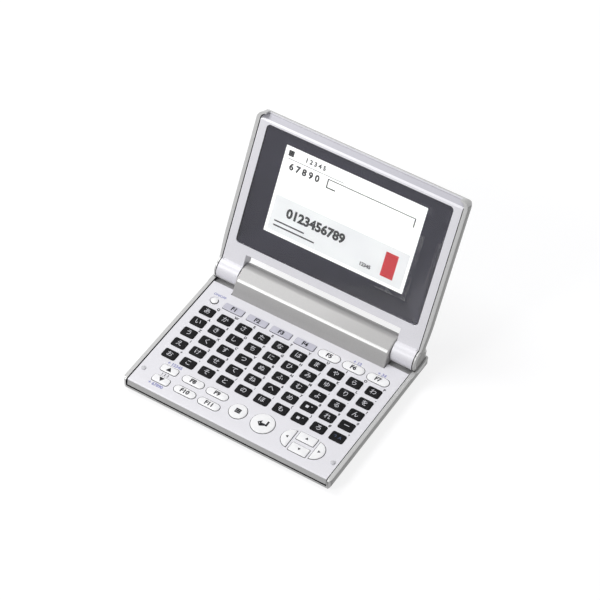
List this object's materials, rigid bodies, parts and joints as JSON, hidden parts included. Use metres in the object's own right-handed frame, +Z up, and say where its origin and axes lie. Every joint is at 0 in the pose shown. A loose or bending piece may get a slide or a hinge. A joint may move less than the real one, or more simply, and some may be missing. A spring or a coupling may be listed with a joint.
{
  "type": "electronic dictionary",
  "caption": "Pocket electronic dictionary that opens like a book on two knuckles, with a keypad, a battery barrel between the knuckles and a wide display.",
  "frame": {"origin": "on the table, under the middle of the base; the case underside is 0.6 mm above it on its rubber feet", "axes": "+X to the user's right along the hinge, +Y from the front edge towards the hinge, +Z up off the table"},
  "size_m": [0.1106, 0.1185, 0.0834],
  "materials": {
    "silver_case": "silver lacquer on moulded plastic, fine satin",
    "champagne_barrel": "champagne silver lacquer, satin",
    "pearl_panel": "pearl white lacquer with a fine grain",
    "key_black": "moulded black key cap, smooth",
    "key_white": "moulded white key cap, smooth",
    "key_grey": "moulded grey key cap, smooth",
    "lens_acrylic": "clear acrylic window, polished",
    "mask_ink": "dark printed film behind the window",
    "lcd_glass": "reflective display panel",
    "holder_plastic": "moulded carrier",
    "cable_film": "flat polyimide cable",
    "board_green": "glass fibre circuit board with solder mask",
    "mat_rubber": "silicone key mat",
    "stop_rubber": "soft lid stops",
    "foot_rubber": "moulded rubber feet",
    "cell_jacket": "plain film on a steel can",
    "contact_steel": "nickel plated contact",
    "pin_steel": "turned steel pin",
    "bush_steel": "friction clutch sleeve",
    "screw_steel": "plated screw"
  },
  "bodies": {
    "base": {"bottom_case": "silver_case", "keypad_panel": "pearl_panel", "battery_barrel": "champagne_barrel", "battery_cell": "cell_jacket", "battery_spring": "contact_steel", "battery_plate": "contact_steel", "main_board": "board_green", "key_mat": "mat_rubber", "rubber_feet": "foot_rubber", "case_screws": "screw_steel", "lid_stops": "stop_rubber", "hinge_pins": "pin_steel"},
    "lid": {"hinge_bushes": "bush_steel", "display_frame": "pearl_panel", "lid_cover": "silver_case", "display_lens": "lens_acrylic", "display_mask": "mask_ink", "lcd_panel": "lcd_glass", "lcd_holder": "holder_plastic", "lcd_board": "board_green", "display_cable": "cable_film"},
    "battery_door": {"battery_door": "silver_case"},
    "key_column_1": {"key_column_1": "key_black"},
    "key_column_2": {"key_column_2": "key_black"},
    "key_column_3": {"key_column_3": "key_black"},
    "key_column_4": {"key_column_4": "key_black"},
    "key_column_5": {"key_column_5": "key_black"},
    "key_column_6": {"key_column_6": "key_black"},
    "key_column_7": {"key_column_7": "key_black"},
    "key_column_8": {"key_column_8": "key_black"},
    "key_column_9": {"key_column_9": "key_black"},
    "key_column_10": {"key_column_10": "key_black"},
    "key_power": {"key_power": "key_white"},
    "key_tab_1": {"key_tab_1": "key_grey"},
    "key_tab_2": {"key_tab_2": "key_grey"},
    "key_tab_3": {"key_tab_3": "key_grey"},
    "key_tab_4": {"key_tab_4": "key_grey"},
    "key_pill_1": {"key_pill_1": "key_white"},
    "key_pill_2": {"key_pill_2": "key_white"},
    "key_pill_3": {"key_pill_3": "key_white"},
    "key_page_up": {"key_page_up": "key_white"},
    "key_page_down": {"key_page_down": "key_white"},
    "key_menu_1": {"key_menu_1": "key_white"},
    "key_menu_2": {"key_menu_2": "key_white"},
    "key_menu_3": {"key_menu_3": "key_white"},
    "key_menu_4": {"key_menu_4": "key_white"},
    "key_list": {"key_list": "key_white"},
    "key_enter": {"key_enter": "key_white"},
    "key_left": {"key_left": "key_white"},
    "key_right": {"key_right": "key_white"},
    "key_up": {"key_up": "key_white"},
    "key_down": {"key_down": "key_white"}
  },
  "joints": [
    {"name": "lid_hinge", "type": "hinge", "parent": "base", "child": "lid", "pos_m": [0, 0.0361, 0.0107], "axis": [1, 0, 0], "range_deg": [-35, 117.3]},
    {"name": "battery_door_slide", "type": "slide", "parent": "base", "child": "battery_door", "axis": [0, 1, 0], "range_m": [0, 0.006]},
    {"name": "key_column_1_press", "type": "slide", "parent": "base", "child": "key_column_1", "axis": [0, 0, 1], "range_m": [-0.0004, 0], "stiffness_N_per_m": 750, "springref_m": 0.0004},
    {"name": "key_column_2_press", "type": "slide", "parent": "base", "child": "key_column_2", "axis": [0, 0, 1], "range_m": [-0.0004, 0], "stiffness_N_per_m": 750, "springref_m": 0.0004},
    {"name": "key_column_3_press", "type": "slide", "parent": "base", "child": "key_column_3", "axis": [0, 0, 1], "range_m": [-0.0004, 0], "stiffness_N_per_m": 750, "springref_m": 0.0004},
    {"name": "key_column_4_press", "type": "slide", "parent": "base", "child": "key_column_4", "axis": [0, 0, 1], "range_m": [-0.0004, 0], "stiffness_N_per_m": 750, "springref_m": 0.0004},
    {"name": "key_column_5_press", "type": "slide", "parent": "base", "child": "key_column_5", "axis": [0, 0, 1], "range_m": [-0.0004, 0], "stiffness_N_per_m": 750, "springref_m": 0.0004},
    {"name": "key_column_6_press", "type": "slide", "parent": "base", "child": "key_column_6", "axis": [0, 0, 1], "range_m": [-0.0004, 0], "stiffness_N_per_m": 750, "springref_m": 0.0004},
    {"name": "key_column_7_press", "type": "slide", "parent": "base", "child": "key_column_7", "axis": [0, 0, 1], "range_m": [-0.0004, 0], "stiffness_N_per_m": 750, "springref_m": 0.0004},
    {"name": "key_column_8_press", "type": "slide", "parent": "base", "child": "key_column_8", "axis": [0, 0, 1], "range_m": [-0.0004, 0], "stiffness_N_per_m": 750, "springref_m": 0.0004},
    {"name": "key_column_9_press", "type": "slide", "parent": "base", "child": "key_column_9", "axis": [0, 0, 1], "range_m": [-0.0004, 0], "stiffness_N_per_m": 750, "springref_m": 0.0004},
    {"name": "key_column_10_press", "type": "slide", "parent": "base", "child": "key_column_10", "axis": [0, 0, 1], "range_m": [-0.0004, 0], "stiffness_N_per_m": 750, "springref_m": 0.0004},
    {"name": "key_power_press", "type": "slide", "parent": "base", "child": "key_power", "axis": [0, 0, 1], "range_m": [-0.0004, 0], "stiffness_N_per_m": 750, "springref_m": 0.0004},
    {"name": "key_tab_1_press", "type": "slide", "parent": "base", "child": "key_tab_1", "axis": [0, 0, 1], "range_m": [-0.0004, 0], "stiffness_N_per_m": 750, "springref_m": 0.0004},
    {"name": "key_tab_2_press", "type": "slide", "parent": "base", "child": "key_tab_2", "axis": [0, 0, 1], "range_m": [-0.0004, 0], "stiffness_N_per_m": 750, "springref_m": 0.0004},
    {"name": "key_tab_3_press", "type": "slide", "parent": "base", "child": "key_tab_3", "axis": [0, 0, 1], "range_m": [-0.0004, 0], "stiffness_N_per_m": 750, "springref_m": 0.0004},
    {"name": "key_tab_4_press", "type": "slide", "parent": "base", "child": "key_tab_4", "axis": [0, 0, 1], "range_m": [-0.0004, 0], "stiffness_N_per_m": 750, "springref_m": 0.0004},
    {"name": "key_pill_1_press", "type": "slide", "parent": "base", "child": "key_pill_1", "axis": [0, 0, 1], "range_m": [-0.0004, 0], "stiffness_N_per_m": 750, "springref_m": 0.0004},
    {"name": "key_pill_2_press", "type": "slide", "parent": "base", "child": "key_pill_2", "axis": [0, 0, 1], "range_m": [-0.0004, 0], "stiffness_N_per_m": 750, "springref_m": 0.0004},
    {"name": "key_pill_3_press", "type": "slide", "parent": "base", "child": "key_pill_3", "axis": [0, 0, 1], "range_m": [-0.0004, 0], "stiffness_N_per_m": 750, "springref_m": 0.0004},
    {"name": "key_page_up_press", "type": "slide", "parent": "base", "child": "key_page_up", "axis": [0, 0, 1], "range_m": [-0.0004, 0], "stiffness_N_per_m": 750, "springref_m": 0.0004},
    {"name": "key_page_down_press", "type": "slide", "parent": "base", "child": "key_page_down", "axis": [0, 0, 1], "range_m": [-0.0004, 0], "stiffness_N_per_m": 750, "springref_m": 0.0004},
    {"name": "key_menu_1_press", "type": "slide", "parent": "base", "child": "key_menu_1", "axis": [0, 0, 1], "range_m": [-0.0004, 0], "stiffness_N_per_m": 750, "springref_m": 0.0004},
    {"name": "key_menu_2_press", "type": "slide", "parent": "base", "child": "key_menu_2", "axis": [0, 0, 1], "range_m": [-0.0004, 0], "stiffness_N_per_m": 750, "springref_m": 0.0004},
    {"name": "key_menu_3_press", "type": "slide", "parent": "base", "child": "key_menu_3", "axis": [0, 0, 1], "range_m": [-0.0004, 0], "stiffness_N_per_m": 750, "springref_m": 0.0004},
    {"name": "key_menu_4_press", "type": "slide", "parent": "base", "child": "key_menu_4", "axis": [0, 0, 1], "range_m": [-0.0004, 0], "stiffness_N_per_m": 750, "springref_m": 0.0004},
    {"name": "key_list_press", "type": "slide", "parent": "base", "child": "key_list", "axis": [0, 0, 1], "range_m": [-0.0004, 0], "stiffness_N_per_m": 750, "springref_m": 0.0004},
    {"name": "key_enter_press", "type": "slide", "parent": "base", "child": "key_enter", "axis": [0, 0, 1], "range_m": [-0.0004, 0], "stiffness_N_per_m": 750, "springref_m": 0.0004},
    {"name": "key_left_press", "type": "slide", "parent": "base", "child": "key_left", "axis": [0, 0, 1], "range_m": [-0.0004, 0], "stiffness_N_per_m": 750, "springref_m": 0.0004},
    {"name": "key_right_press", "type": "slide", "parent": "base", "child": "key_right", "axis": [0, 0, 1], "range_m": [-0.0004, 0], "stiffness_N_per_m": 750, "springref_m": 0.0004},
    {"name": "key_up_press", "type": "slide", "parent": "base", "child": "key_up", "axis": [0, 0, 1], "range_m": [-0.0004, 0], "stiffness_N_per_m": 750, "springref_m": 0.0004},
    {"name": "key_down_press", "type": "slide", "parent": "base", "child": "key_down", "axis": [0, 0, 1], "range_m": [-0.0004, 0], "stiffness_N_per_m": 750, "springref_m": 0.0004}
  ]
}
